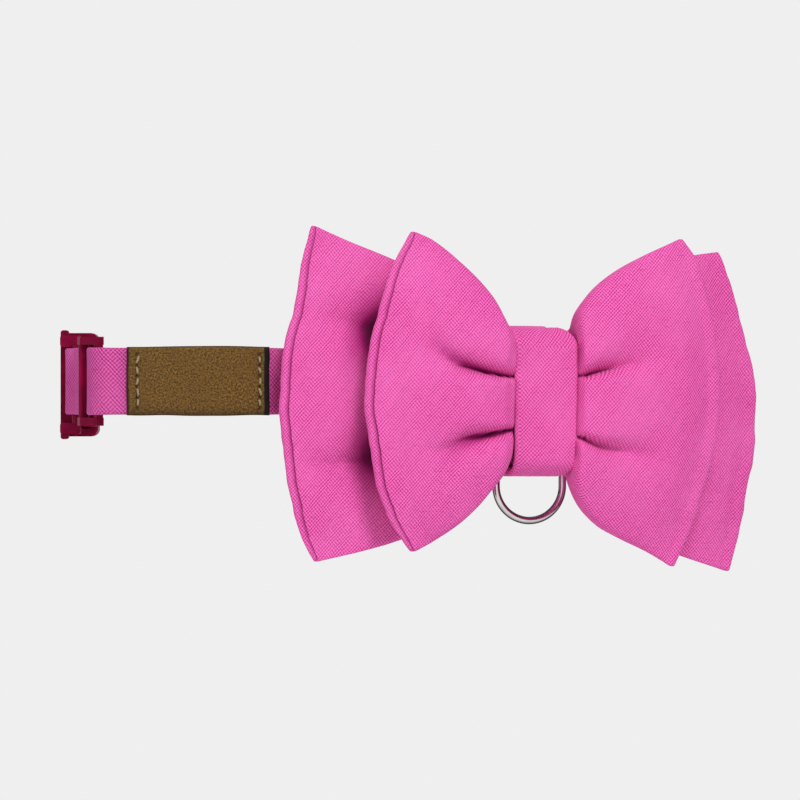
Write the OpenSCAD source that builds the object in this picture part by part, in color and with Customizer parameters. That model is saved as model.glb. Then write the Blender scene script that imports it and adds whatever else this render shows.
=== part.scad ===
// Closed cat collar with a two-layer padded bow, a hanging D-ring, a leather label,
// a sliding adjuster and a two-part safety buckle. Millimetres, +Z up, as worn.
// The origin is the middle of the neck opening at mid-strap height. The front strap
// runs along X, the bow faces -Y and the rear strap closes the loop on the +Y side.

/* [Strap] */
// Height of the strap
strap_w = 10; // [8:0.5:12]
// Thickness of one strap layer
strap_t = 0.7; // [0.5:0.05:0.9]
// Gap left between layers that lie on each other
layer_gap = 0.04; // [0.02:0.01:0.1]
// Reach of the right turn, from the middle of the bow
front_right = 39; // [36:0.5:60]
// Corner radius before the adjuster
corner_r = 3; // [2:0.1:6]
// Lean of the straight that carries the adjuster, in degrees, outwards if above zero
side_lean = -3; // [-6:1:12]
// Radius of the rear left corner
rear_corner_r = 7; // [5:0.5:10]
// Slope of the rear run, in degrees
rear_slope = 14; // [10:1:18]
// Length of the sewn fold at the rear end of the strap
fold_length = 6.5; // [5:0.5:9]
// Length of the rear run that flexes when the buckle opens
flex_length = 22; // [15:1:30]
// Length of the free tail along the inside of the front run
tail_length = 15; // [8:1:20]

/* [Label] */
// Length of the leather label
label_l = 21.7; // [16:0.1:30]
// Thickness of the leather
label_t = 1.1; // [0.8:0.1:1.4]
// Distance from the middle of the bow to the label's right end
label_from_bow = 39.1; // [36:0.1:46]
// Length of strap between the label and the left corner
label_to_corner = 1.2; // [0.3:0.1:10]
// Inset of each stitch row from the label's end
stitch_inset = 1.35; // [1:0.05:3]
// Length of one stitch
stitch_l = 1.1; // [0.8:0.05:1.3]
// Distance between stitches
stitch_pitch = 1.6; // [1.5:0.05:2]
// Radius of the thread
thread_r = 0.18; // [0.12:0.01:0.22]

/* [Adjuster] */
// Gap between the strap's edge and a side rail
rail_gap = 0.45; // [0.3:0.05:0.8]
// Distance between the middle bar and an end bar
bar_pitch = 3.1; // [3:0.1:4]
// Radius of the three bars
bar_r = 0.5; // [0.4:0.05:0.6]
// How far the middle bar stands out from the end bars
bar_rise = 1.6; // [1.5:0.1:1.8]
// How much deeper than the end bars the middle bar is
web_extra = 0.5; // [0.1:0.1:0.8]
// Height of each side rail
rail_h = 1.2; // [1:0.1:1.3]
// Play between a bar and the strap
bar_play = 0.08; // [0.05:0.01:0.12]
// Free length of strap between the adjuster and the buckle
side_free = 4.4; // [4:0.1:8]
// Travel of the adjuster towards the buckle
slide_travel = 2; // [1:0.1:2.4]

/* [Buckle] */
// Distance between the two strap bars
buckle_l = 25.5; // [24:0.5:31]
// Width of each side rail beside the strap
buckle_rail = 2.1; // [2:0.1:3]
// How far the buckle's outer face stands out past the folded strap
plate_stand = 0.75; // [0.2:0.05:0.9]
// How far each grip tab of the prong half stands out past the socket
tab_out = 0.4; // [0.2:0.1:1]
// Thickness of the buckle
buckle_t = 5.5; // [5.2:0.1:7]
// Radius of the two strap bars
buckle_bar_r = 0.65; // [0.5:0.05:0.75]
// Room between a strap bar and the strap folded round it
fold_play = 0.35; // [0.3:0.05:0.5]
// How much wider than the strap its slots are
slot_room = 1.4; // [1:0.1:2]
// Length of the slots
slot_l = 2.6; // [2.4:0.1:3.5]
// Turn of the buckle towards the bow, in degrees
buckle_yaw = 16; // [12:1:20]
// Wall of the socket
socket_wall = 0.9; // [0.8:0.05:1.1]
// Clearance around the arms and the tongue inside the socket
prong_play = 0.15; // [0.1:0.01:0.2]
// Length of the arms
prong_l = 9.5; // [8:0.1:10]
// Thickness of the arms and the tongue
prong_t = 2.4; // [2:0.1:2.6]

/* [Bow] */
// Height of the middle of the bow above the middle of the strap
bow_z = -2.8; // [-4:0.1:0]
// Turn of the bow in its own plane, in degrees
bow_roll = 2.3; // [0:0.1:3]
// Half-width of the back bow at mid-height
back_mid = 36.9; // [30:0.1:42]
// Half-width of the back bow at its tips
back_tip = 31.8; // [26:0.1:38]
// Half-height of the back bow at its tips
back_h = 24.6; // [18:0.1:30]
// Half-width of the front bow at mid-height
front_mid = 27.6; // [22:0.1:33]
// Half-width of the front bow at its tips
front_tip = 20.5; // [16:0.1:26]
// Half-height of the front bow at its tips
front_h = 24; // [18:0.1:30]
// Greatest half-thickness of a wing
wing_t = 3.7; // [3:0.1:4.5]
// Half-height of the gathered waist
waist_h = 9.4; // [9:0.1:11]
// Thickness of each bow at the waist
waist_t = 5.2; // [4:0.1:6]
// Thickness of the bow fabric with its seam allowance
cover_t = 0.6; // [0.5:0.05:0.7]
// Thickness of a wing's sewn edge
edge_t = 1.7; // [1.6:0.1:2.2]
// Gap between soft pieces that lie on each other
soft_gap = 0.3; // [0.2:0.05:0.4]

/* [Band and ring] */
// Width of the centre band
band_w = 9.6; // [8:0.1:12]
// Gap between the band and each side of the ring
ring_side_play = 0.5; // [0.4:0.05:0.8]
// Thickness of the band
band_t = 0.9; // [0.7:0.05:1.2]
// Radius of the ring's wire
wire_r = 0.58; // [0.45:0.01:0.7]
// Half-width of the ring, to the middle of its wire
ring_half = 5.2; // [5.1:0.1:7]
// Length of the ring's straight sides
ring_side = 2.4; // [2:0.1:5]
// Corner radius of the ring
ring_corner = 1.2; // [1:0.1:1.5]
// Gap between the ring's bar and the band
ring_play = 0.3; // [0.2:0.05:0.4]
// How far the ring hangs to the right of the band's middle
ring_shift = 1.9; // [0:0.1:2]

/* [Hidden] */
$fn = 48;

pink = [0.91, 0.36, 0.68];
strap_pink = [0.76, 0.31, 0.57];
magenta = [0.52, 0.05, 0.25];
leather_brown = [0.41, 0.29, 0.16];
steel = [0.75, 0.75, 0.77];
thread_pale = [0.72, 0.62, 0.45];
white = [0.95, 0.95, 0.95];

// Plan geometry is worked out from the middle of the bow on the front run's centre line,
// which stands here in the collar's frame
bow_x = 14;
front_run_y = -22;

function unit(v) = v / norm(v);
function joined(lists) = [for (l = lists) for (p = l) p];
function reversed(p) = [for (i = [len(p) - 1:-1:0]) p[i]];
// Points along an arc about a centre
function arc(c, r, a0, a1, steps) =
    [for (i = [0:steps]) let(a = a0 + (a1 - a0) * i / steps) c + r * [cos(a), sin(a)]];
// Left-hand normal of a polyline at point i
function normal_at(p, i) =
    let(d = unit(p[min(i + 1, len(p) - 1)] - p[max(i - 1, 0)])) [-d[1], d[0]];
// A polyline moved sideways by d, to its left
function shifted(p, d) = [for (i = [0:len(p) - 1]) p[i] + d * normal_at(p, i)];

// Two strap layers that lie on each other: each middle is layer_step from the pair's middle
layer_step = (strap_t + layer_gap) / 2;
pair_half = layer_step + strap_t / 2;
label_gap = 0.03;
stitch_gap = 0.02;
stitch_stand = 2 * thread_r + stitch_gap;
front_left = label_from_bow + label_l + label_to_corner;
row_margin = 1;
row_count = floor((strap_w - row_margin) / stitch_pitch);

// Left corner, then the straight that carries the adjuster, leaning outwards
side_dir = [-sin(side_lean), cos(side_lean)];
side_out = [-cos(side_lean), -sin(side_lean)];
corner_c = [-front_left, corner_r + layer_step];
side_start = corner_c + corner_r * side_out;

// Adjuster frame: s runs along the strap to the buckle, n outwards from the end bars
pair_n = bar_r + bar_play + pair_half;
dip_n = bar_rise - pair_n;
slider_h = strap_w + 2 * (rail_gap + rail_h);
dip_lead = 0.2;
dip_half = bar_pitch + dip_lead;
weave_end = dip_half + dip_lead;
strap_cut = 0.02;
corner_lead = 0.9;
slider_s = dip_half + corner_lead;
end_land = bar_pitch - 0.8;
middle_land = 0.9;
slider_c = side_start + side_dir * slider_s - side_out * pair_n;
bar_end = bar_pitch + bar_r;
near_bar = side_start + side_dir * (slider_s + bar_end + side_free);
function from_slider(s, n) = slider_c + side_dir * s + side_out * n;
function dip(s) = (pair_n + dip_n) / 2 - (pair_n - dip_n) / 2 * cos(180 * s / dip_half);

// Buckle frame: +X to the neck, +Y along the buckle from the near bar to the far bar
buckle_dir = [sin(buckle_yaw), cos(buckle_yaw)];
buckle_in = [cos(buckle_yaw), -sin(buckle_yaw)];
function from_buckle(x, y) = near_bar + buckle_in * x + buckle_dir * y;
slot_w = strap_w + slot_room;
buckle_w = slot_w + 2 * buckle_rail;
// The buckle hangs low in the play of its slots
slot_rest = 0.2;
slot_lift = slot_rest - slot_room / 2;
wrap_r = buckle_bar_r + fold_play + strap_t / 2;
plate_out = wrap_r + strap_t / 2 + plate_stand;
rail_t = plate_out + buckle_bar_r;
rail_edge = 0.4;
shell_edge = 1.1;
// Each step of the base: its near and far face from the outer face, and its inset
tab_step = 0.8;
base_steps = [[0, 1.2, 0], [0.6, 2.3, 0.9], [1.5, buckle_t, 1.9]];
base_y = buckle_bar_r + slot_l;
base_l = 5.3;
half_gap = 0.3;
base_end = base_y + base_l;
socket_y = base_end + half_gap;
socket_end = buckle_l - buckle_bar_r - slot_l;
overlap = 0.2;
prong_depth = 1.9;
prong_x0 = prong_depth - plate_out;
arm_w = 1.3;
nose_r = 0.9;
nose_y = base_end + prong_l - nose_r;
tongue_half = 1.5;
tongue_short = 0.7;
catch_depth = 0.3;
pocket_room = 0.5;
nose_z = buckle_w / 2 - socket_wall - catch_depth - prong_play - nose_r;
pocket_end = base_end + prong_l + pocket_room;
grip_r = 0.6;
grip_depth = 0.25;
grip_pitch = 1.8;
grip_start = 3;

// The fold round the near bar: its layers part past the adjuster's travel, at a tangent
part_s = bar_end + slide_travel + bar_play;
part_run = side_free - slide_travel - bar_play;
part_a = asin(wrap_r / norm([part_run, layer_step])) - atan2(layer_step, part_run);

// Rear strap: sewn fold, left corner, sloping run, then the right turn
fold_top = buckle_l + wrap_r;
fold_close = 2;
fold_y = fold_top + fold_length;
fold_rows = [fold_top + 3, fold_y - 0.8];
rear_c = from_buckle(rear_corner_r - layer_step, fold_y);
rear_out = [sin(rear_slope), cos(rear_slope)];
rear_dir = [cos(rear_slope), -sin(rear_slope)];
rear_left = rear_c + rear_corner_r * rear_out;
turn_r = (rear_out * (rear_left - [front_right, 0])) / (1 + cos(rear_slope) - sin(rear_slope));
turn_c = [front_right - turn_r, turn_r];
turn_end = turn_c + turn_r * rear_out;
rear_split = rear_left + rear_dir * flex_length;

// Depths of the bow's layers, from the front run's centre line
label_face = -strap_t / 2 - label_gap - label_t;
wing_back = label_face - soft_gap - stitch_stand;
waist_set = 0.8;
waist_gap = 0.2;
wing_room = 0.6;
front_return = 1.1;
back_mid_y = wing_back - waist_t / 2 - waist_set;
front_mid_y = back_mid_y - waist_t - waist_gap;
// The front wings stand forward as far as the thickness of both bows needs
front_bulge = front_mid_y - wing_back + 3 * wing_t + wing_room;
waist_front = front_mid_y - waist_t / 2;
waist_back = back_mid_y + waist_t / 2;

// The gather thread lies round both waists, and the band round the thread and the strap
thread_gap = 0.15;
gather_t = 0.5;
band_in_half = waist_h + thread_gap + gather_t + thread_gap;
band_in_front = waist_front - 2 * thread_gap - gather_t;
band_strap_gap = 0.5;
band_in_back = strap_t / 2 + band_strap_gap;
band_corner = 0.9;
narrow_y = waist_back + band_strap_gap;
band_clear = 40;
thread_turns = 3;
turn_pitch = 1.2;
gather_corner = 0.6;
ring_y = band_in_back - ring_play - wire_r;
ring_z = bow_z - band_in_half + ring_play + wire_r;

module placed() translate([bow_x, front_run_y, 0]) children();
module on_slider() placed() translate([slider_c[0], slider_c[1], 0])
    rotate([0, 0, side_lean]) children();
module on_buckle() placed() translate([near_bar[0], near_bar[1], slot_lift])
    rotate([0, 0, -buckle_yaw]) children();
module on_bow() placed() translate([0, 0, bow_z]) rotate([0, bow_roll, 0]) children();

// One strap layer along a polyline
module ribbon(p) placed() translate([0, 0, -strap_w / 2]) linear_extrude(strap_w)
    polygon(joined([shifted(p, strap_t / 2), reversed(shifted(p, -strap_t / 2))]));

// A stitch lying along Z
module stitch() translate([0, 0, -stitch_l / 2]) cylinder(h = stitch_l, r = thread_r, $fn = 16);

// A row of stitches centred on the strap's height
module stitch_row(count) for (i = [0:count - 1])
    translate([0, 0, (i - (count - 1) / 2) * stitch_pitch]) stitch();

// ---- The strap: one sewn strap, divided where the adjuster and the buckle move it ----

// From the right turn to the adjuster, with the left corner
module strap_front() color(strap_pink) ribbon(joined([
    [[turn_c[0], 0]],
    arc(corner_c, corner_r + layer_step, 270, 180 + side_lean, 10),
    [from_slider(-weave_end - strap_cut, pair_n + layer_step)]]));

module strap_turn() color(strap_pink) ribbon(arc(turn_c, turn_r, -90, 90 - rear_slope, 40));

module strap_rear() color(strap_pink) ribbon([turn_end, rear_split]);

// The flexing end, folded round the socket's bar and sewn to itself
module strap_rear_end() color(strap_pink) ribbon(joined([
    [rear_split],
    reversed(arc(rear_c, rear_corner_r, 180 - buckle_yaw, 90 - rear_slope, 14)),
    [from_buckle(-layer_step, fold_top + fold_close)],
    [for (a = [180:15:360]) from_buckle(wrap_r * cos(a), buckle_l + wrap_r * sin(a))],
    [from_buckle(layer_step, fold_top + fold_close), from_buckle(layer_step, fold_y)]]));

// Both layers where they dip under the adjuster's middle bar
module strap_weave() color(strap_pink) {
    mid = joined([[from_slider(-weave_end, pair_n)],
        [for (i = [-8:8]) let(s = dip_half * i / 8) from_slider(s, dip(s))],
        [from_slider(weave_end, pair_n)]]);
    for (side = [-1, 1]) ribbon(shifted(mid, side * layer_step));
}

// Round the prong half's bar and back
module strap_loop() color(strap_pink) ribbon(joined([
    [for (s = [weave_end + strap_cut, part_s]) from_slider(s, pair_n + layer_step)],
    reversed(arc(near_bar, wrap_r, side_lean - part_a, 180 + side_lean + part_a, 18)),
    [for (s = [part_s, weave_end + strap_cut]) from_slider(s, pair_n - layer_step)]]));

// The free tail inside the left corner
module strap_tail() color(strap_pink) ribbon(joined([
    [[tail_length - front_left, 2 * layer_step]],
    arc(corner_c, corner_r - layer_step, 270, 180 + side_lean, 10),
    [from_slider(-weave_end - strap_cut, pair_n - layer_step)]]));

// ---- Label ----

module label() color(leather_brown) placed()
    translate([-label_from_bow - label_l, label_face, -strap_w / 2])
        cube([label_l, label_t, strap_w]);

module label_stitches() color(thread_pale) placed()
    for (x = [stitch_inset, label_l - stitch_inset])
        translate([x - label_from_bow - label_l, label_face - thread_r - stitch_gap, 0])
            stitch_row(row_count);

// ---- Adjuster ----

module slider() color(magenta) on_slider() {
    bar_h = slider_h - rail_h;
    web_face = -bar_r - bar_rise - web_extra;
    for (end = [-1, 1]) translate([0, end * bar_pitch, -bar_h / 2]) cylinder(h = bar_h, r = bar_r);
    for (step = [0, web_extra])
        translate([-bar_rise - step, 0, -bar_h / 2]) cylinder(h = bar_h, r = bar_r);
    translate([-bar_rise - web_extra, -bar_r, -bar_h / 2]) cube([web_extra, 2 * bar_r, bar_h]);
    for (side = [-1, 1]) translate([0, 0, side * (slider_h - rail_h) / 2 - rail_h / 2])
        linear_extrude(rail_h) polygon([
            [bar_r, -bar_end], [bar_r, -end_land], [0, -middle_land], [0, middle_land],
            [bar_r, end_land], [bar_r, bar_end], [-bar_r, bar_end],
            [web_face, middle_land], [web_face, -middle_land],
            [-bar_r, -bar_end]]);
}

// ---- Buckle ----

// A slab across the buckle with rounded long edges: x0 to x1, half-width half, y0 to y1
module slab(x0, x1, half, y0, y1, r = rail_edge) translate([0, y1, 0]) rotate([90, 0, 0])
    linear_extrude(y1 - y0) union() {
        translate([x0 + r, -half]) square([x1 - x0 - 2 * r, 2 * half]);
        translate([x0, -half + r]) square([x1 - x0, 2 * half - 2 * r]);
        for (x = [x0 + r, x1 - r]) for (z = [-half + r, half - r]) translate([x, z]) circle(r);
    }

// Strap bar between two side rails, at the y of the bar, with the rails running to rail_end
module bar_frame(y, rail_end, half) {
    translate([0, y, -slot_w / 2 - overlap])
        cylinder(h = slot_w + 2 * overlap, r = buckle_bar_r);
    for (side = [-1, 1]) translate([0, 0, side * (slot_w / 2 + half) / 2])
        slab(-plate_out, rail_t - plate_out, (half - slot_w / 2) / 2,
             min(y, rail_end), max(y, rail_end));
}

// The base steps in from thin grip tabs to the full thickness
module prong_half() color(magenta) on_buckle() {
    half = buckle_w / 2 + tab_out;
    bar_frame(0, base_y + overlap, half - tab_step);
    for (step = base_steps)
        slab(step[0] - plate_out, step[1] - plate_out, half - step[2], base_y, base_end);
    for (side = [-1, 1]) {
        translate([prong_x0, base_end - overlap, side * nose_z - arm_w / 2])
            cube([prong_t, nose_y - base_end + overlap, arm_w]);
        translate([prong_x0, nose_y, side * nose_z]) rotate([0, 90, 0])
            cylinder(h = prong_t, r = nose_r);
    }
    translate([prong_x0, base_end - overlap, -tongue_half])
        cube([prong_t, prong_l - tongue_short, 2 * tongue_half]);
}

module socket_half() color(magenta) on_buckle() {
    half = buckle_w / 2;
    pocket_half = nose_z + nose_r + prong_play;
    pocket_t = prong_t + 2 * prong_play;
    bar_frame(buckle_l, socket_end - overlap, half);
    difference() {
        slab(-plate_out, buckle_t - plate_out, half, socket_y, socket_end, shell_edge);
        translate([prong_x0 - prong_play, socket_y - 1, -pocket_half])
            cube([pocket_t, pocket_end - socket_y + 1, 2 * pocket_half]);
        for (side = [-1, 1])
            translate([prong_x0 - prong_play, nose_y, side * (nose_z + catch_depth)])
                rotate([0, 90, 0]) cylinder(h = pocket_t, r = nose_r + prong_play);
        for (i = [0:3])
            translate([grip_depth - grip_r - plate_out, socket_y + grip_start + grip_pitch * i,
                       -half - 1])
                cylinder(h = 2 * half + 2, r = grip_r);
    }
}

// Two rows of stitches through the rear fold
module rear_stitches() color(thread_pale)
    for (y = fold_rows)
        placed() let(p = from_buckle(-pair_half - thread_r - stitch_gap, y))
            translate([p[0], p[1], 0]) stitch_row(row_count);

// ---- Bow ----

grid_u = 22;
grid_v = 12;
waist_past = 0.5;
// Where a wing is fullest, how round its thickness runs out, and how early it flares
fullest = 0.42;
run_out = 0.7;
edge_round = 0.6;
flare_late = 1.05;
// Where the front wings stand fully forward of the waist, and where they turn back
bulge_full = 0.45;
return_from = 0.45;

// Share of a wing's length past the band, at the share u of the half-width mid
function past_band(u, mid) =
    let(u0 = (band_w / 2 + waist_past) / mid) max(0, (abs(u) - u0) / (1 - u0));
// Half-thickness along a wing: waist at 0, fullest part, sewn edge at 1
function swell(w) = w < fullest
    ? waist_t / 2 + (wing_t - waist_t / 2) * sin(90 * w / fullest)
    : edge_t / 2 + (wing_t - edge_t / 2) * pow(1 - pow((w - fullest) / (1 - fullest), 2), run_out);
// Half-height along a wing: the waist, then a steep flare
function flare(w, full) = waist_h + (full - waist_h) * sin(90 * pow(w, flare_late));
// Depth of the middle of each bow along a wing
function back_depth(w) = wing_back - swell(w) - waist_set * pow(1 - w, 2);
function front_depth(w) = front_mid_y - front_bulge * sin(90 * min(1, w / bulge_full))
    + front_return * pow(max(0, w - return_from) / (1 - return_from), 2);

// A pinched pillow: mid and tip are half-widths, full the half-height at the tips.
// inset draws it in on all sides, for the cavity and the wadding.
module pillow(mid, tip, full, front, inset) {
    points = [for (side = [0, 1]) for (i = [0:grid_u]) for (j = [0:grid_v])
        let(u = 2 * i / grid_u - 1, v = 2 * j / grid_v - 1, w = past_band(u, mid),
            x = u * (mid - inset) - sign(u) * (mid - tip) * w * v * v,
            z = v * (flare(w, full) - inset),
            t = edge_t / 2 + (swell(w) - edge_t / 2) * pow(1 - pow(abs(v), 3), edge_round) - inset,
            y = (front ? front_depth(w) : back_depth(w)) + (side * 2 - 1) * t)
        [x, y, z]];
    function at(side, i, j) = (side * (grid_u + 1) + i) * (grid_v + 1) + j;
    function quad(a, b, c, d) = [[a, b, c], [a, c, d]];
    faces = joined([
        for (i = [0:grid_u - 1]) for (j = [0:grid_v - 1]) joined([
            quad(at(0, i, j), at(0, i, j + 1), at(0, i + 1, j + 1), at(0, i + 1, j)),
            quad(at(1, i, j), at(1, i + 1, j), at(1, i + 1, j + 1), at(1, i, j + 1))]),
        for (j = [0:grid_v - 1]) joined([
            quad(at(1, 0, j), at(1, 0, j + 1), at(0, 0, j + 1), at(0, 0, j)),
            quad(at(0, grid_u, j), at(0, grid_u, j + 1), at(1, grid_u, j + 1), at(1, grid_u, j))]),
        for (i = [0:grid_u - 1]) joined([
            quad(at(0, i, grid_v), at(1, i, grid_v), at(1, i + 1, grid_v), at(0, i + 1, grid_v)),
            quad(at(0, i + 1, 0), at(1, i + 1, 0), at(1, i, 0), at(0, i, 0))])]);
    polyhedron(points, faces);
}

module cover(mid, tip, full, front) difference() {
    pillow(mid, tip, full, front, 0);
    pillow(mid, tip, full, front, cover_t);
}

module back_bow_cover() color(pink) on_bow() cover(back_mid, back_tip, back_h, false);
module back_bow_wadding() color(white) on_bow()
    pillow(back_mid, back_tip, back_h, false, cover_t + 0.05);
module front_bow_cover() color(pink) on_bow() cover(front_mid, front_tip, front_h, true);
module front_bow_wadding() color(white) on_bow()
    pillow(front_mid, front_tip, front_h, true, cover_t + 0.05);

// A rounded outline in the YZ plane, extruded along X by width
module loop(y0, y1, half, r, width) translate([-width / 2, 0, bow_z]) rotate([90, 0, 90])
    linear_extrude(width) union() {
        translate([y0 + r, -half]) square([y1 - y0 - 2 * r, 2 * half]);
        translate([y0, -half + r]) square([y1 - y0, 2 * half - 2 * r]);
        for (y = [y0 + r, y1 - r]) for (z = [-half + r, half - r]) translate([y, z]) circle(r);
    }

// The turns of thread that gather both waists
module gather_thread() color(thread_pale) placed() for (i = [0:thread_turns - 1])
    translate([(i - (thread_turns - 1) / 2) * turn_pitch, 0, 0]) difference() {
        loop(waist_front - thread_gap - gather_t, waist_back + thread_gap + gather_t,
             waist_h + thread_gap + gather_t, gather_corner + gather_t, gather_t);
        loop(waist_front - thread_gap, waist_back + thread_gap, waist_h + thread_gap,
             gather_corner, gather_t + 1);
    }

// The band, full width over the bow and narrower where it passes the strap and the ring
module centre_band() color(pink) placed() difference() {
    back_half = ring_half - wire_r - ring_side_play - ring_shift;
    loop(band_in_front - band_t, band_in_back + band_t, band_in_half + band_t,
         band_corner + band_t, band_w);
    loop(band_in_front, band_in_back, band_in_half, band_corner, band_w + 1);
    for (side = [-1, 1])
        translate([side < 0 ? -back_half - band_w : back_half, narrow_y, bow_z - band_clear / 2])
            cube([band_w, band_clear, band_clear]);
}

module band_stitches() color(pink) placed()
    for (i = [-2:2])
        translate([0, band_in_back + band_t + thread_r + stitch_gap, bow_z + stitch_pitch * i])
        rotate([0, 90, 0]) stitch();

// ---- D-ring, hanging from its straight bar ----

module d_ring() color(steel) placed() translate([ring_shift, ring_y, ring_z]) {
    straight = ring_half - ring_corner;
    translate([-straight, 0, 0]) rotate([0, 90, 0]) cylinder(h = 2 * straight, r = wire_r);
    for (side = [-1, 1]) {
        translate([side * straight, 0, -ring_corner]) rotate([90, 0, 0])
            rotate_extrude(angle = 90, start = side > 0 ? 0 : 90)
                translate([ring_corner, 0]) circle(wire_r);
        translate([side * ring_half, 0, -ring_corner - ring_side])
            cylinder(h = ring_side, r = wire_r);
    }
    translate([0, 0, -ring_corner - ring_side]) rotate([90, 0, 0])
        rotate_extrude(angle = 180, start = 180) translate([ring_half, 0]) circle(wire_r);
}

strap_front();
strap_turn();
strap_rear();
strap_rear_end();
strap_weave();
strap_loop();
strap_tail();
label();
label_stitches();
slider();
prong_half();
socket_half();
rear_stitches();
back_bow_cover();
back_bow_wadding();
front_bow_cover();
front_bow_wadding();
gather_thread();
centre_band();
band_stitches();
d_ring();
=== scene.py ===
"""Looks of the closed cat collar with its two-layer padded bow. Shapes are worked out in
millimetres in the bow frame: the middle of the bow on the front run's centre line."""
import math

import bmesh
import bpy
import numpy as np
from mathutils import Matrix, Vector


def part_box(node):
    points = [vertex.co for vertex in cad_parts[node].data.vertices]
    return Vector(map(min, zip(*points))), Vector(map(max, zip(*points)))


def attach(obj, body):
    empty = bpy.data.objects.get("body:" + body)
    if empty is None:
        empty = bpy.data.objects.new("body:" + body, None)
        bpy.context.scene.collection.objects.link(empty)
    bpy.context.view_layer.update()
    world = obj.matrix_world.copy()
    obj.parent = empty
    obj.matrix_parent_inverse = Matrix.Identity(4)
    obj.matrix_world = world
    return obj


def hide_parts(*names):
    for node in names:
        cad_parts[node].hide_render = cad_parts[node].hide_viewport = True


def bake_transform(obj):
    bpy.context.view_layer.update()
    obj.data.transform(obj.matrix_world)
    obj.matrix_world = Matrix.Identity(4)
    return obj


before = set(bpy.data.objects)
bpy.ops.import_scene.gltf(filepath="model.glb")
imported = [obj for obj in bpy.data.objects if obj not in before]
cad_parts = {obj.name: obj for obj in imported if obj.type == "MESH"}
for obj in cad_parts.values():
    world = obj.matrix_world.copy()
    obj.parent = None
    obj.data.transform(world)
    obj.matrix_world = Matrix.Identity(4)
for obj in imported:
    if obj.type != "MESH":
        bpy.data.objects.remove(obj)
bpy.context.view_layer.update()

SEED = 7
MM = 0.001
scene = bpy.context.scene


def box_mm(node):
    """The lowest and the highest corner of a CAD node."""
    low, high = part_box(node)
    return np.array(low) * 1000, np.array(high) * 1000


band_low, band_high = box_mm("centre_band")
run_low, run_high = box_mm("strap_front")
label_low, label_high = box_mm("label")

STRAP_W = run_high[2] - run_low[2]
STRAP_T = 0.7
LAYER = 0.37                      # from the middle of a pair of strap layers to each layer
# The bow frame in the collar's frame
BOW = np.array([(band_low[0] + band_high[0]) / 2, run_low[1] + STRAP_T / 2, 0.0])
BOW_Z = (band_low[2] + band_high[2]) / 2
BOW_ROLL = math.radians(2.3)
BAND_W = band_high[0] - band_low[0]


# -------------------- small helpers

def linear(r, g, b):
    """An sRGB colour in 0-255 as linear RGBA."""
    def one(c):
        c /= 255
        return c / 12.92 if c <= 0.04045 else ((c + 0.055) / 1.055) ** 2.4
    return (one(r), one(g), one(b), 1.0)


def smooth(a, b, x):
    """0 at a and 1 at b, with a soft start and end."""
    t = np.clip((x - a) / (b - a), 0, 1)
    return t * t * (3 - 2 * t)


def table(x, *pairs):
    """A smooth curve through (x, y) pairs."""
    xs, ys = np.array(pairs, float).T
    slopes = np.gradient(ys, xs)
    for i in range(len(xs)):          # no overshoot at local peaks
        left = ys[i] - ys[i - 1] if i else 0
        right = ys[i + 1] - ys[i] if i + 1 < len(xs) else 0
        if left * right <= 0:
            slopes[i] = 0
    x = np.clip(x, xs[0], xs[-1])
    i = np.clip(np.searchsorted(xs, x, side="right") - 1, 0, len(xs) - 2)
    h = xs[i + 1] - xs[i]
    t = (x - xs[i]) / h
    return ((2 * t**3 - 3 * t**2 + 1) * ys[i] + (t**3 - 2 * t**2 + t) * h * slopes[i]
            + (3 * t**2 - 2 * t**3) * ys[i + 1] + (t**3 - t**2) * h * slopes[i + 1])


def lengths(p):
    """The length so far at each point of a polyline, or of several side by side."""
    step = np.linalg.norm(np.diff(p, axis=0), axis=-1)
    return np.concatenate([np.zeros_like(step[:1]), np.cumsum(step, axis=0)])


def curve(points, t):
    """Points at the shares t of a smooth curve through the given points."""
    p = np.array(points, float)
    s = lengths(p)
    return np.stack([table(np.asarray(t) * s[-1], *zip(s, p[:, k])) for k in range(p.shape[1])], -1)


def resample(points, spacing):
    """A polyline at even spacing, with its length so far."""
    p = np.array(points, float)
    s = lengths(p)
    n = max(2, int(round(s[-1] / spacing)) + 1)
    t = np.linspace(0, s[-1], n)
    return np.stack([np.interp(t, s, p[:, k]) for k in range(p.shape[1])], -1), t


def wobble(seed, x, waves=5, longest=20.0):
    """A smooth, seeded wave of about unit size along x."""
    rng = np.random.default_rng(SEED * 1000 + seed)
    total = np.zeros_like(np.asarray(x, float))
    for k in range(waves):
        length = longest / (1 + k) * rng.uniform(0.8, 1.25)
        total += np.sin(2 * np.pi * (x / length + rng.uniform())) / (1 + k) ** 0.7
    return total / 1.8


def new_object(name, verts_mm, faces, uvs, material, body=None):
    """A mesh piece from millimetre points in the bow frame. uvs holds a corner list per face."""
    co = (np.asarray(verts_mm, float) + BOW) * MM
    mesh = bpy.data.meshes.new(name)
    mesh.from_pydata([tuple(c) for c in co], [], [tuple(int(i) for i in f) for f in faces])
    layer = mesh.uv_layers.new(name="weave")
    layer.data.foreach_set("uv", np.array([c for f in uvs for c in f], np.float32).ravel())
    mesh.validate()
    bm = bmesh.new()
    bm.from_mesh(mesh)
    bmesh.ops.recalc_face_normals(bm, faces=bm.faces)
    bm.to_mesh(mesh)
    bm.free()
    mesh.polygons.foreach_set("use_smooth", [True] * len(mesh.polygons))
    mesh.materials.append(material)
    obj = bpy.data.objects.new(name, mesh)
    scene.collection.objects.link(obj)
    if body:
        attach(obj, body)
    return obj


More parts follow.
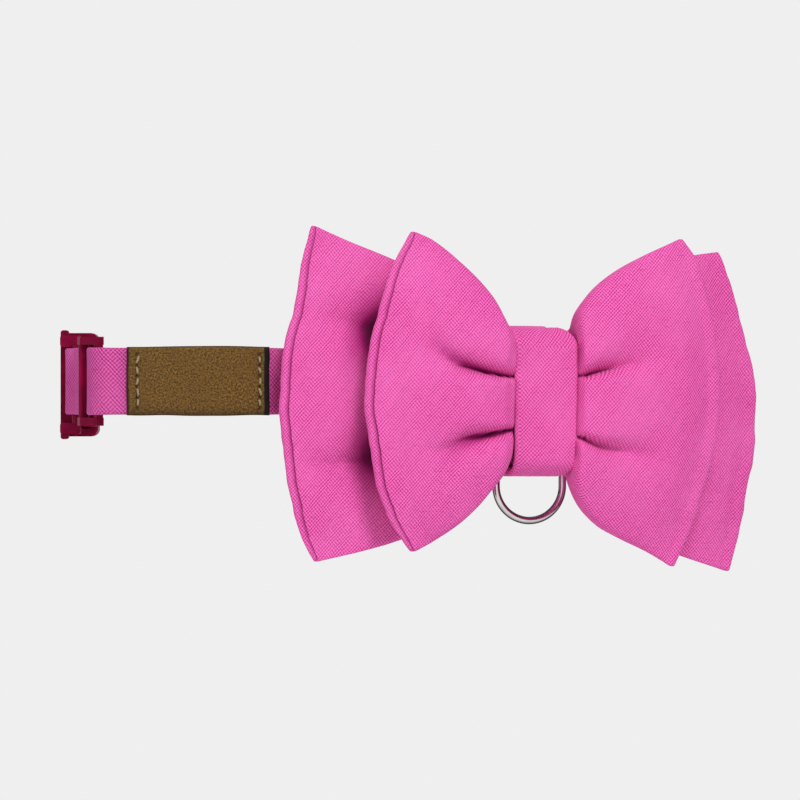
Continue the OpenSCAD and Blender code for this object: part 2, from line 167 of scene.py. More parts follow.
def sweep(rings, u, v):
    """Vertices, faces and UVs of closed rings (n, m, 3) joined into a capped tube.
    u runs along it and v, one longer than a ring, around it, both in millimetres."""
    n, m, _ = rings.shape
    faces, uvs = [], []
    for i in range(n - 1):
        for j in range(m):
            k = (j + 1) % m
            faces.append((i * m + j, i * m + k, (i + 1) * m + k, (i + 1) * m + j))
            uvs.append([(u[i], v[j]), (u[i], v[j + 1]), (u[i + 1], v[j + 1]), (u[i + 1], v[j])])
    for i, order in ((0, range(m)), (n - 1, range(m - 1, -1, -1))):
        faces.append([i * m + j for j in order])
        uvs.append([(u[i], v[j]) for j in order])
    return rings.reshape(-1, 3), faces, uvs


# -------------------- camera and stage

def look(obj, target):
    """Turn a camera or lamp towards a point."""
    direction = np.array(target) - np.array(obj.location)
    obj.rotation_euler = Vector(direction).to_track_quat("-Z", "Y").to_euler()


AZ = math.radians(-16)
CAMERA_DISTANCE = 2.0
AIM_LEFT = 21.8                   # how far left of the band's face the picture's middle lies
toward = np.array([math.sin(AZ), -math.cos(AZ), 0])     # from the object to the camera
across = np.array([math.cos(AZ), math.sin(AZ), 0])
face_point = BOW + [0, band_low[1] - BOW[1], 0]
aim = (face_point - across * AIM_LEFT) * MM
aim[2] = BOW_Z * MM
cam_data = bpy.data.cameras.new("camera")
cam_data.lens = 603
cam_data.sensor_width = 36
cam_data.clip_start = 0.05
camera = bpy.data.objects.new("camera", cam_data)
camera.location = aim + toward * CAMERA_DISTANCE
scene.collection.objects.link(camera)
look(camera, aim)
scene.camera = camera
scene.view_settings.view_transform = "Standard"

BACKDROP = (239, 239, 239)
PALE = linear(*BACKDROP)
FLOOR_Z = -0.08
FLOOR_HALF = 6.0
AMBIENT = 0.4                     # the world's strength as light; it is 1 where it is seen


class Nodes:
    """A node tree that is written in short lines."""

    def __init__(self, tree):
        self.tree = tree
        tree.nodes.clear()

    def add(self, kind, values=None, **settings):
        node = self.tree.nodes.new(kind)
        for key, value in settings.items():
            setattr(node, key, value)
        for key, value in (values or {}).items():
            if isinstance(value, bpy.types.NodeSocket):
                self.tree.links.new(value, node.inputs[key])
            else:
                node.inputs[key].default_value = value
        return node

    def mapped(self, vector, **how):
        return self.add("ShaderNodeMapping", {"Vector": vector, **how}).outputs[0]

    def math(self, operation, a, b=0.0, c=None, clamp=False):
        values = {0: a, 1: b}
        if c is not None:
            values[2] = c
        return self.add("ShaderNodeMath", values, operation=operation, use_clamp=clamp).outputs[0]

    def noise(self, vector, scale, detail=3.0, rough=0.5):
        return self.add("ShaderNodeTexNoise", {"Vector": vector, "Scale": scale, "Detail": detail,
                                              "Roughness": rough}).outputs["Fac"]

    def ramp(self, fac, low, high, a=0.0, b=1.0):
        return self.add("ShaderNodeMapRange", {"Value": fac, 1: low, 2: high, 3: a, 4: b},
                        interpolation_type="SMOOTHSTEP").outputs[0]

    def mix(self, fac, a, b):
        """Colour a or b, each a socket or an sRGB triple."""
        a, b = (linear(*c) if isinstance(c, tuple) else c for c in (a, b))
        return self.add("ShaderNodeMix", {"Factor": fac, 6: a, 7: b}, data_type="RGBA").outputs[2]


def seen_rays(n):
    """1 for camera, glossy and transmission rays, else 0."""
    path = n.add("ShaderNodeLightPath")
    either = n.math("MAXIMUM", path.outputs["Is Camera Ray"], path.outputs["Is Glossy Ray"])
    return n.math("MAXIMUM", either, path.outputs["Is Transmission Ray"])


def material(name):
    mat = bpy.data.materials.new(name)
    mat.use_nodes = True
    return mat, Nodes(mat.node_tree)


def finish_surface(n, color, roughness, height, distance, strength, **uniform):
    """A Principled surface with linked colour, roughness and bump, and uniform values set on it."""
    bump = n.add("ShaderNodeBump", {"Height": height, "Distance": distance, "Strength": strength})
    shader = n.add("ShaderNodeBsdfPrincipled", {"Base Color": color, "Roughness": roughness,
                                                "Normal": bump.outputs[0]})
    for key, value in uniform.items():
        shader.inputs[key.replace("_", " ")].default_value = value
    n.tree.links.new(shader.outputs[0], n.add("ShaderNodeOutputMaterial").inputs[0])


# World: pale to the camera and in reflections, softer as light
world = bpy.data.worlds.new("studio")
scene.world = world
world.use_nodes = True
w = Nodes(world.node_tree)
strength = w.add("ShaderNodeMapRange", {"Value": seen_rays(w), 3: AMBIENT, 4: 1.0}).outputs[0]
back = w.add("ShaderNodeBackground", {"Color": PALE, "Strength": strength})
w.tree.links.new(back.outputs[0], w.add("ShaderNodeOutputWorld").inputs[0])

# Floor: it keeps the object's shadow near it and fades into the backdrop further out
mat, n = material("floor")
where = n.add("ShaderNodeNewGeometry").outputs["Position"]
reach = n.add("ShaderNodeVectorMath", {0: where, 1: (0.0, 0.0, FLOOR_Z)}, operation="DISTANCE")
far = n.ramp(reach.outputs["Value"], 0.11, 0.2)
grain = n.noise(where, 900.0, 2.0)
tone = n.mix(n.ramp(grain, 0.3, 0.7, 0.0, 0.03), BACKDROP, (225, 225, 225))
shadowed = n.add("ShaderNodeBsdfDiffuse", {"Color": tone})
plain = n.add("ShaderNodeEmission", {"Color": PALE, "Strength": 1.0})
either = n.add("ShaderNodeMixShader", {0: n.math("MULTIPLY", far, seen_rays(n)),
                                       1: shadowed.outputs[0], 2: plain.outputs[0]})
n.tree.links.new(either.outputs[0], n.add("ShaderNodeOutputMaterial").inputs[0])
floor_mesh = bpy.data.meshes.new("floor")
bm = bmesh.new()
bmesh.ops.create_grid(bm, x_segments=8, y_segments=8, size=FLOOR_HALF)
bm.to_mesh(floor_mesh)
bm.free()
floor_mesh.materials.append(mat)
floor = bpy.data.objects.new("floor", floor_mesh)
floor.location = (0, 0, FLOOR_Z)
scene.collection.objects.link(floor)


def lamp(name, azimuth, elevation, distance, size, watts):
    """A round lamp that points at the object, in degrees and metres."""
    data = bpy.data.lights.new(name, "AREA")
    data.shape = "DISK"
    data.size = size
    data.energy = watts
    obj = bpy.data.objects.new(name, data)
    a, e = math.radians(azimuth), math.radians(elevation)
    obj.location = distance * np.array([math.sin(a) * math.cos(e), -math.cos(a) * math.cos(e), math.sin(e)])
    scene.collection.objects.link(obj)
    look(obj, (0, -0.02, 0))


lamp("key", 2, 40, 1.1, 0.32, 7.2)
lamp("fill", -65, 8, 1.2, 0.8, 3.4)
lamp("back", 165, 45, 1.2, 0.8, 4.0)


# -------------------- materials

def weave_material(name, base, deep, pale, thread, relief, slub):
    """Plain woven cotton. base, deep and pale are sRGB colours, thread is one thread's width in mm,
    relief the bump's height in metres and slub how uneven the threads are."""
    mat, n = material(name)
    uv = n.add("ShaderNodeUVMap", uv_map="weave").outputs[0]
    painted_shade = n.add("ShaderNodeAttribute", attribute_name="painted_shade").outputs["Fac"]
    # a slight drift of the threads
    drift = n.add("ShaderNodeTexNoise", {"Vector": uv, "Scale": 0.3, "Detail": 1.0})
    drift = n.add("ShaderNodeVectorMath", {0: drift.outputs["Color"], 1: (0.5, 0.5, 0.5)},
                  operation="SUBTRACT").outputs[0]
    drift = n.add("ShaderNodeVectorMath", {0: drift, "Scale": 0.3}, operation="SCALE").outputs[0]
    line = n.add("ShaderNodeVectorMath", {0: uv, 1: drift}, operation="ADD").outputs[0]
    xyz = n.add("ShaderNodeSeparateXYZ", {0: line})
    a = n.math("SINE", n.math("MULTIPLY", xyz.outputs[0], math.pi / thread))
    b = n.math("SINE", n.math("MULTIPLY", xyz.outputs[1], math.pi / (thread * 1.08)))
    over = n.math("MULTIPLY_ADD", n.math("MULTIPLY", a, b), 0.5, 0.5)
    # the slanting ribs that the crossings line up into
    slant = n.math("SUBTRACT", xyz.outputs[0], n.math("MULTIPLY", xyz.outputs[1], 0.86))
    rib = n.math("SINE", n.math("MULTIPLY", slant, math.pi / (thread * 0.8)))
    rib = n.math("MULTIPLY_ADD", rib, 0.5, 0.5)
    over = n.math("ADD", n.math("MULTIPLY", over, 0.55), n.math("MULTIPLY", rib, 0.2))
    over = n.math("ADD", over, n.math("MULTIPLY", n.noise(uv, 3.4, 2.0, 0.8), 0.4))
    # uneven threads: long thin streaks along the weft and the warp
    weft = n.noise(n.mapped(uv, Scale=(0.5, 4.2, 1.0)), 1.0, 2.0, 0.6)
    warp = n.noise(n.mapped(uv, Scale=(4.4, 0.5, 1.0)), 1.0, 2.0, 0.6)
    streak = n.math("MULTIPLY", n.ramp(warp, 0.6, 0.8), 0.4)
    streak = n.math("MAXIMUM", n.ramp(weft, 0.56, 0.75), streak)
    fuzz = n.noise(uv, 8.0, 3.0, 0.7)
    broad = n.noise(uv, 0.09, 2.0)
    color = n.mix(n.ramp(over, 0.3, 0.8), deep, base)
    color = n.mix(n.math("MULTIPLY", n.ramp(fuzz, 0.45, 0.8), 0.45), color, pale)
    color = n.mix(n.math("MULTIPLY", streak, 0.5 * slub), color, deep)
    color = n.mix(n.ramp(broad, 0.35, 0.7, 0.0, 0.16), color, pale)
    # painted shade inside gathers, along seams and under the front wing's edge: a fuller colour first, then
    # dark
    painted_shade_tint = (0.88 * deep[0], 0.35 * deep[1], 0.86 * deep[2])
    color = n.mix(n.math("MULTIPLY", painted_shade, 1.4, clamp=True), color, painted_shade_tint)
    color = n.mix(n.ramp(painted_shade, 0.5, 1.0), color, tuple(0.42 * c for c in deep))
    height = n.math("ADD", over, n.math("MULTIPLY", fuzz, 0.6))
    height = n.math("SUBTRACT", height, n.math("MULTIPLY", streak, 0.5 * slub))
    rough = n.ramp(fuzz, 0.3, 0.7, 0.8, 0.95)
    finish_surface(n, color, rough, height, relief, 0.8,
                   Sheen_Weight=0.08, Sheen_Roughness=0.45, Sheen_Tint=linear(240, 150, 205),
                   Specular_IOR_Level=0.2)
    return mat


def plastic_material():
    mat, n = material("moulded_plastic")
    where = n.add("ShaderNodeTexCoord").outputs["Object"]
    cloud = n.noise(where, 260.0, 3.0)
    fine = n.noise(where, 2600.0, 3.0, 0.6)
    lines = n.noise(n.mapped(where, Scale=(900.0, 900.0, 5200.0)), 1.0, 2.0)
    color = n.mix(n.ramp(cloud, 0.35, 0.7), (116, 0, 46), (146, 4, 62))
    color = n.mix(n.ramp(fine, 0.62, 0.8, 0.0, 0.2), color, (150, 34, 84))
    rough = n.math("ADD", n.ramp(cloud, 0.3, 0.7, 0.4, 0.5), n.ramp(lines, 0.5, 0.8, 0.0, 0.14))
    height = n.math("ADD", n.math("MULTIPLY", fine, 0.7), n.math("MULTIPLY", lines, 0.4))
    finish_surface(n, color, rough, height, 0.00003, 0.5, IOR=1.49, Specular_IOR_Level=0.08,
                   Subsurface_Weight=0.12, Subsurface_Radius=(1.0, 0.25, 0.4), Subsurface_Scale=0.0012)
    return mat


def metal_material():
    mat, n = material("nickel")
    where = n.add("ShaderNodeTexCoord").outputs["Object"]
    cloud = n.noise(where, 420.0, 3.0)
    fine = n.noise(where, 5200.0, 2.0)
    color = n.mix(n.ramp(cloud, 0.35, 0.7), (222, 220, 217), (236, 235, 232))
    color = n.mix(n.ramp(fine, 0.66, 0.82, 0.0, 0.3), color, (140, 130, 118))
    # painted reflection: the wire is darkened towards its outline, as if mirroring darker surroundings
    painted_dark_rim = n.add("ShaderNodeLayerWeight", {"Blend": 0.5}).outputs["Facing"]
    color = n.mix(n.ramp(painted_dark_rim, 0.0, 0.4), color, (40, 35, 28))
    rough = n.math("ADD", n.ramp(cloud, 0.3, 0.7, 0.1, 0.18), n.ramp(fine, 0.6, 0.8, 0.0, 0.06))
    finish_surface(n, color, rough, fine, 0.000003, 0.2, Metallic=1.0)
    return mat


def leather_material():
    mat, n = material("leather")
    uv = n.add("ShaderNodeUVMap", uv_map="weave").outputs[0]
    edge = n.add("ShaderNodeAttribute", attribute_name="edge").outputs["Fac"]
    grain = n.add("ShaderNodeTexVoronoi", {"Vector": uv, "Scale": 3.4}).outputs["Distance"]
    fine = n.noise(uv, 3.2, 4.0, 0.65)
    broad = n.noise(uv, 0.35, 3.0)
    specks = n.noise(uv, 4.2, 2.0, 0.7)
    color = n.mix(n.ramp(fine, 0.34, 0.66), (58, 38, 11), (134, 98, 42))
    color = n.mix(n.ramp(broad, 0.35, 0.7, 0.0, 0.5), color, (98, 69, 27))
    color = n.mix(n.ramp(specks, 0.5, 0.66, 0.0, 0.85), color, (40, 26, 12))
    pale = n.noise(uv, 5.0, 2.0, 0.7)
    color = n.mix(n.ramp(pale, 0.56, 0.7, 0.0, 0.5), color, (164, 126, 62))
    # the edge attribute: burnt cut edges, painted shadow at the right end, painted shade in the needle
    # holes, darker towards the bottom
    color = n.mix(edge, color, (9, 7, 5))
    rough = n.ramp(fine, 0.3, 0.7, 0.62, 0.8)
    height = n.math("ADD", n.math("MULTIPLY", grain, 0.8), n.math("MULTIPLY", fine, 0.7))
    finish_surface(n, color, rough, height, 0.00006, 0.8, Specular_IOR_Level=0.2)
    return mat


def thread_material(name, base, deep):
    mat, n = material(name)
    where = n.add("ShaderNodeTexCoord").outputs["Object"]
    twist = n.mapped(where, Rotation=(0.6, 0.5, 0.7))
    ply = n.add("ShaderNodeTexWave", {"Vector": twist, "Scale": 2600.0, "Distortion": 1.5,
                                     "Detail": 1.0}).outputs["Fac"]
    fuzz = n.noise(where, 6000.0, 3.0, 0.7)
    color = n.mix(n.ramp(ply, 0.2, 0.7), deep, base)
    color = n.mix(n.ramp(fuzz, 0.4, 0.7, 0.0, 0.4), color, deep)
    height = n.math("ADD", ply, n.math("MULTIPLY", fuzz, 0.5))
    finish_surface(n, color, n.ramp(fuzz, 0.3, 0.7, 0.6, 0.85), height, 0.00005, 0.8,
                   Sheen_Weight=0.2, Sheen_Roughness=0.5)
    return mat


CLOTH = weave_material("bow_cloth", (254, 110, 194), (172, 27, 114), (255, 136, 210),
                       thread=0.27, relief=0.00008, slub=0.8)
STRAP = weave_material("strap_cloth", (228, 93, 173), (131, 22, 93), (240, 124, 192),
                       thread=0.3, relief=0.00008, slub=0.8)
PLASTIC = plastic_material()
METAL = metal_material()
LEATHER = leather_material()
PALE_THREAD = thread_material("pale_thread", (186, 172, 132), (120, 100, 62))
PINK_THREAD = thread_material("pink_thread", (214, 84, 156), (160, 40, 110))


# -------------------- the strap

def heading(degrees):
    """Unit vectors at an angle from straight back towards the right, and square to it on its right."""
    a = math.radians(degrees)
    return np.array([math.sin(a), math.cos(a)]), np.array([math.cos(a), -math.sin(a)])


# The strap's path is the CAD's, as lengths and angles in the bow frame
LEAN = -3                         # degrees, of the straight that carries the adjuster
YAW, SLOPE = 16, 14               # degrees, of the buckle and of the rear run
side_dir, side_in = heading(-LEAN)
side_out = -side_in
CORNER_R = 3.0                    # the left corner, at the middle of the pair of layers
FRONT_LEFT, FRONT_RIGHT = -62.0, 39
TAIL_X = 15 + FRONT_LEFT          # where the free tail ends
corner_c = np.array([FRONT_LEFT, CORNER_R + LAYER])
side_start = corner_c + CORNER_R * side_out
PAIR_N, DIP_N = 1.3, 0.3          # the pair's place outside the adjuster's middle, and over its bar
DIP_HALF = 3.3                    # half the length of that dip
WRAP_R = 1.35                     # a strap layer round a buckle bar
slider_c = side_start + side_dir * 4.2 - side_out * PAIR_N
near_bar = side_start + side_dir * 12.2
buckle_dir, buckle_in = heading(YAW)
PART_S, PART_A = 5.68, 26.01      # where the two layers part before the near bar, and at what angle
BUCKLE_L = 25.5                   # from bar to bar
FOLD_Y = BUCKLE_L + WRAP_R + 6.5
REAR_R = 7                        # the rear left turn
BLEND_L = 22                      # a length along the rear run from the rear left turn
rear_out, rear_dir = heading(SLOPE)
TURN_R = 17.5526                  # the right turn
turn_c = np.array([FRONT_RIGHT - TURN_R, TURN_R])


def at_slider(s, out):
    return slider_c + side_dir * s + side_out * out


def at_buckle(x, y):
    return near_bar + buckle_in * x + buckle_dir * y


def arc(c, r, a0, a1, steps):
    """Points along an arc, from angle a0 to a1 in degrees."""
    a = np.radians(np.linspace(a0, a1, steps + 1))
    return list(np.stack([c[0] + r * np.cos(a), c[1] + r * np.sin(a)], -1))


def dip(side, way):
    """A layer of the pair over the adjuster's bar: side 1 is the outer one, way 1 leads on from the bar
    and way -1 leads up to it."""
    s = np.linspace(0, DIP_HALF, 14)
    out = (PAIR_N + DIP_N) / 2 - (PAIR_N - DIP_N) / 2 * np.cos(np.pi * s / DIP_HALF)
    tilt = np.arctan(np.gradient(out, s))
    s, out = s - side * LAYER * np.sin(tilt), out + side * LAYER * np.cos(tilt)
    return [at_slider(way * a, b) for a, b in zip(s, out)][::way]


def ribbon(name, points, blend, soft_ends=(False, False), seed=0):
    """One strap layer along a path: a flat folded tube with round, slightly fuller edges.
    blend is (two bodies, start, end) and is not used; a soft end is thinned towards its cut."""
    path, length = resample(points, 0.45)
    d = np.gradient(path, axis=0)
    d /= np.linalg.norm(d, axis=1)[:, None]
    normal = np.stack([-d[:, 1], d[:, 0]], -1)
    half_w, half_t = STRAP_W / 2, STRAP_T / 2
    # outline of the section: (offset across the thickness, height)
    fold = half_t * 1.2
    flat = np.linspace(-1, 1, 9) * (half_w - fold)
    turn = np.radians([-60, -30, 0, 30, 60])
    top = [(half_t * math.sin(-a), half_w - fold + fold * math.cos(a)) for a in turn]
    section = [(half_t, z) for z in flat] + top + [(-half_t, z) for z in flat[::-1]]
    section += [(-x, -z) for x, z in top]
    section = np.array(section)
    edge = np.abs(section[:, 1]) / half_w
    section[:, 0] *= 1 - 0.16 * smooth(0.86, 0.6, edge)     # a trace thinner inside the folded edges
    around = lengths(np.vstack([section, section[:1]]))
    rings = np.zeros((len(path), len(section), 3))
    wave = 0.05 * wobble(seed, length, 4, 17.0)
    for i in range(len(path)):
        squeeze = 1.0
        for end, on in ((0, soft_ends[0]), (length[-1], soft_ends[1])):
            if on:
                squeeze *= 1 - 0.35 * (1 - smooth(0, 1.0, abs(length[i] - end)))
        offset = section[:, 0] * squeeze
        rings[i, :, :2] = path[i] + normal[i] * offset[:, None]
        rings[i, :, 2] = section[:, 1] + wave[i] * np.sign(section[:, 1]) * smooth(0.5, 1, edge)
    verts, faces, uvs = sweep(rings, length + seed * 13.7, around)
    obj = new_object(name, verts, faces, uvs, STRAP)
    (a, b), start, end = blend

    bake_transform(obj)
    return obj


weave_start = at_slider(-4.2, PAIR_N)
# straight back, so that no part of the front run lies beyond the start
into_weave = (("root", "adjuster"), weave_start, weave_start + [0, 0.9])
out_of_weave = (("adjuster", "root"), at_slider(2.6, PAIR_N), at_slider(5.66, PAIR_N))

# Front run, left corner and the outer layer up to the adjuster's middle bar
points = [(turn_c[0], 0)] + arc(corner_c, CORNER_R + LAYER, 270, 180 + LEAN, 16)
points += dip(1, -1)
strap_front = ribbon("strap_front_run", points, into_weave, seed=1)
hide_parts("strap_front", "strap_weave")

# The free tail and the inner layer up to the middle bar
points = [(TAIL_X, 2 * LAYER)] + arc(corner_c, CORNER_R - LAYER, 270, 180 + LEAN, 14)
points += dip(-1, -1)
strap_tail = ribbon("strap_free_tail", points, into_weave, (True, False), seed=2)
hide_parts("strap_tail")

# From the middle bar round the prong half's bar and back
points = dip(1, 1) + [at_slider(PART_S, PAIR_N + LAYER)]
points += arc(near_bar, WRAP_R, 180 + LEAN + PART_A, LEAN - PART_A, 26)
points += [at_slider(PART_S, PAIR_N - LAYER)] + dip(-1, 1)[::-1]
strap_loop = ribbon("strap_bar_loop", points, out_of_weave, seed=3)
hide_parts("strap_loop")

# Right turn and rear run, to the fold sewn round the socket's bar
rear_c = at_buckle(REAR_R - LAYER, FOLD_Y)
rear_left = rear_c + REAR_R * rear_out
points = arc(turn_c, TURN_R, -90, 90 - SLOPE, 60) + arc(rear_c, REAR_R, 90 - SLOPE, 180 - YAW, 20)
close_y = BUCKLE_L + WRAP_R + 2   # here the fold's layers come together
points += [at_buckle(-LAYER, close_y)]
points += [at_buckle(WRAP_R * math.cos(a), BUCKLE_L + WRAP_R * math.sin(a))
           for a in np.radians(np.linspace(180, 360, 14))]
points += [at_buckle(LAYER, close_y), at_buckle(LAYER, FOLD_Y)]
strap_rear = ribbon("strap_rear_run", points,
                    (("root", "socket"), rear_left + rear_dir * BLEND_L, rear_left), (False, True), seed=4)
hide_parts("strap_turn", "strap_rear", "strap_rear_end")


# -------------------- stitches

def stitches(name, lines, radius, mat, body):
    """Short threads that come out of the cloth, bend over it and go back in.
    Each line is (middle, direction, outward, length)."""
    verts, faces, uvs = [], [], []
    number = 0
    t = np.linspace(-1, 1, 9)
    a = np.radians(np.arange(0, 360, 45))[:, None]
    for middle, direction, outward, length in lines:
        middle, direction, outward = (np.array(p, float) for p in (middle, direction, outward))
        side = np.cross(direction, outward)
        rings = []
        for k in t:
            centre = middle + direction * k * length / 2 + outward * radius * (0.55 - 1.7 * abs(k) ** 3)
            r = radius * (1 - 0.25 * abs(k) ** 4)
            rings.append(centre + r * (np.cos(a) * outward + np.sin(a) * side))
        v, f, uv = sweep(np.array(rings), t * length / 2, np.linspace(0, 6.3 * radius, 9))
        faces += [[i + number for i in face] for face in f]
        verts.append(v)
        number += len(v)
        uvs += uv
    obj = new_object(name, np.vstack(verts), faces, uvs, mat, body)
    return obj


STITCH_PITCH = 1.6
stitch_z = [(i - 2) * STITCH_PITCH for i in range(5)]


# -------------------- the label

LABEL_FACE = label_low[1] - BOW[1]
label_x0, label_x1 = label_low[0] - BOW[0], label_high[0] - BOW[0]
LABEL_L, LABEL_T = label_x1 - label_x0, label_high[1] - label_low[1]
ROWS = (label_x0 + 1.35, label_x1 - 1.35)
HOLES = [(cx, (i - 2.5) * STITCH_PITCH) for cx in ROWS for i in range(6)]
DARK_END = 0.95                   # width of the dark strip at the label's right end: its burnt edge and painted shadow beside it
rng = np.random.default_rng(SEED)


def build_label():
    """The bare leather label and its two rows of thread."""
    nx, nz = 110, 52
    gx = np.linspace(0, 1, nx)
    gz = np.linspace(-1, 1, nz)
    X, Z = np.meshgrid(gx, gz, indexing="ij")
    half_w = STRAP_W / 2 + 0.12
    top = 0.1 * wobble(11, gx * LABEL_L, 3, 26.0) + 0.18 * np.sin(np.pi * gx)
    low = 0.08 * wobble(12, gx * LABEL_L, 3, 22.0)
    x = label_x0 + X * (LABEL_L + 0.15) + (0.05 * wobble(13, gz * 5, 3, 8.0))[None, :]
    z = np.where(Z > 0, Z * (half_w + top[:, None]), Z * (half_w + low[:, None]))
    inside = np.minimum(np.minimum(X, 1 - X) * LABEL_L, (1 - np.abs(Z)) * half_w)
    round_off = 0.22 * (1 - smooth(0, 0.45, inside)) ** 2
    y = LABEL_FACE + round_off + 0.035 * wobble(14, x * 0.7 + z, 4, 9.0)
    # the leather is drawn in along each row of stitches, deepest at the needle holes
    for cx in ROWS:
        y += 0.16 * np.exp(-((x - cx) / 0.38) ** 2)
    for cx, hz in HOLES:
        y += 0.34 * np.exp(-(((x - cx) / 0.2) ** 2 + ((z - hz) / 0.2) ** 2))
    # burnt cut edges all round, and the right end's dark strip: burnt edge and painted shadow
    edge = 0.75 * (1 - smooth(0.0, 0.22, inside))
    edge = np.maximum(edge, smooth(LABEL_L - DARK_END, LABEL_L - DARK_END + 0.13, X * LABEL_L))
    # darker towards the bottom
    edge = np.maximum(edge, 0.45 * smooth(-0.66, -1.0, Z))
    # painted shade in the needle holes
    for cx, hz in HOLES:
        edge = np.maximum(edge, 0.85 * np.exp(-(((x - cx) / 0.22) ** 2 + ((z - hz) / 0.24) ** 2)))
    front = np.stack([x, y, z], -1)
    back = np.stack([x, np.full_like(x, LABEL_FACE + LABEL_T - 0.01), z * 0.995], -1)
    verts = np.vstack([front.reshape(-1, 3), back.reshape(-1, 3)])
    faces, uvs = [], []

    def at(side, i, j):
        return side * nx * nz + i * nz + j

    def quad(corners):
        faces.append([c[0] for c in corners])
        uvs.append([c[1] for c in corners])

    for i in range(nx - 1):
        for j in range(nz - 1):
            for side in (0, 1):
                quad([(at(side, a, b), (x[a, b], z[a, b]))
                      for a, b in ((i, j), (i, j + 1), (i + 1, j + 1), (i + 1, j))])
    border = [(i, 0) for i in range(nx - 1)] + [(nx - 1, j) for j in range(nz - 1)]
    border += [(i, nz - 1) for i in range(nx - 1, 0, -1)] + [(0, j) for j in range(nz - 1, 0, -1)]
    for (a, b), (c, d) in zip(border, border[1:] + border[:1]):
        quad([(at(0, a, b), (x[a, b], z[a, b])), (at(0, c, d), (x[c, d], z[c, d])),
              (at(1, c, d), (x[c, d], z[c, d] + LABEL_T)), (at(1, a, b), (x[a, b], z[a, b] + LABEL_T))])
    obj = new_object("leather_label", verts, faces, uvs, LEATHER)
    attribute = obj.data.attributes.new("edge", "FLOAT", "POINT")
    values = np.concatenate([edge.ravel(), np.full(nx * nz, 0.9)])
    attribute.data.foreach_set("value", values.astype(np.float32))
    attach(obj, "root")
    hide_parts("label")
    lines = []
    for cx in ROWS:
        for z0 in stitch_z:
            lean = rng.uniform(-0.34, 0.34)
            middle = (cx + rng.uniform(-0.1, 0.1), LABEL_FACE - 0.02, z0 + rng.uniform(-0.08, 0.08))
            lines.append((middle, (lean, 0, math.sqrt(1 - lean * lean)), (0, -1, 0), rng.uniform(0.85, 1.2)))
    threads = stitches("label_threads", lines, 0.17, PALE_THREAD, "root")
    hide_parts("label_stitches")


build_label()

# Two rows of stitches through the rear fold
lines = []
for y in (close_y + 1, FOLD_Y - 0.8):
    p = at_buckle(-LAYER - STRAP_T / 2, y)
    for z0 in stitch_z:
        lean = rng.uniform(-0.1, 0.1)
        lines.append(((p[0], p[1], z0), (lean * buckle_dir[0], lean * buckle_dir[1], 1.0),
                      (-buckle_in[0], -buckle_in[1], 0), 1.1))
rear_threads = stitches("rear_fold_threads", lines, 0.18, PINK_THREAD, "socket")
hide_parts("rear_stitches")


# -------------------- the bow

X0 = BAND_W / 2 - 0.15            # where a wing leaves the band
WAIST_H = 9.4
LIP = 1.6                         # room inside the outline for a sewn end's lip

# Both bows. waist: where the front and the back panel are pinched to, at the band. slit, spread and
# hold: a gather's width there, how it widens outwards, and how far out it stays deep. mid_y, front_t
# and back_t: the middle's place and each panel's thickness, by the share of the way outwards.
# Then for each side the outlines outwards from the band, the wing's end from bottom to top, and the
# gathers: four points (outwards, height), depth and reach.
FRONT = {
    "name": "front_bow", "nodes": ("front_bow_cover", "front_bow_wadding"),
    "waist": (-13.9, -9.4), "slit": 0.24, "spread": 2.6, "hold": 1.9,
    "mid_y": ((0, -10.96), (0.12, -12.3), (0.3, -13.6), (0.5, -13.8), (0.75, -13.6), (1, -12.9)),
    "front_t": ((0, 2.6), (0.02, 4.3), (0.07, 5.4), (0.16, 5.9), (0.32, 5.7), (0.55, 5.1), (0.8, 3.7),
                (1, 2.15)),
    "back_t": ((0, 2.6), (0.15, 3.0), (0.45, 3.5), (0.75, 3.2), (1, 2.1)),
    -1: {"top": [(X0, 9.4), (6.1, 11.3), (8.7, 15.2), (13.5, 20.0), (18.2, 23.3), (21.0, 24.3)],
         "low": [(X0, -9.4), (5.7, -11.3), (7.6, -13.8), (12.7, -19.4), (16.6, -22.1), (19.2, -23.4)],
         "end": [(19.2, -23.4), (22.3, -19.3), (24.5, -14.4), (26.2, -7.1), (27.2, 0.0), (27.0, 4.2),
                 (25.6, 12.0), (23.5, 19.3), (21.0, 24.3)],
         "creases": [((4.8, 3.2), (9.0, 3.6), (13.3, 4.6), (21.0, 8.4), 0.95, 21.0),
                     ((4.8, -4.6), (8.5, -5.3), (12.1, -6.1), (17.5, -8.3), 0.95, 17.0)]},
    1: {"top": [(X0, 9.4), (4.8, 13.2), (6.5, 16.1), (10.1, 19.3), (15.2, 22.3), (21.1, 25.0)],
        "low": [(X0, -9.4), (4.9, -12.2), (6.2, -15.6), (9.0, -18.3), (12.6, -20.1), (17.2, -22.0),
                (21.7, -24.1)],
        "end": [(21.7, -24.1), (23.5, -19.2), (24.9, -14.7), (26.9, -6.5), (27.6, 0.0), (27.5, 4.0),
                (26.5, 11.0), (25.0, 17.0), (23.2, 21.9), (21.1, 25.0)],
        "creases": [((4.8, 3.7), (8.2, 4.6), (13.4, 5.7), (20.0, 7.6), 0.85, 17.0),
                    ((4.8, -5.2), (8.4, -6.3), (12.5, -7.1), (18.0, -7.8), 0.85, 17.0)]},
}
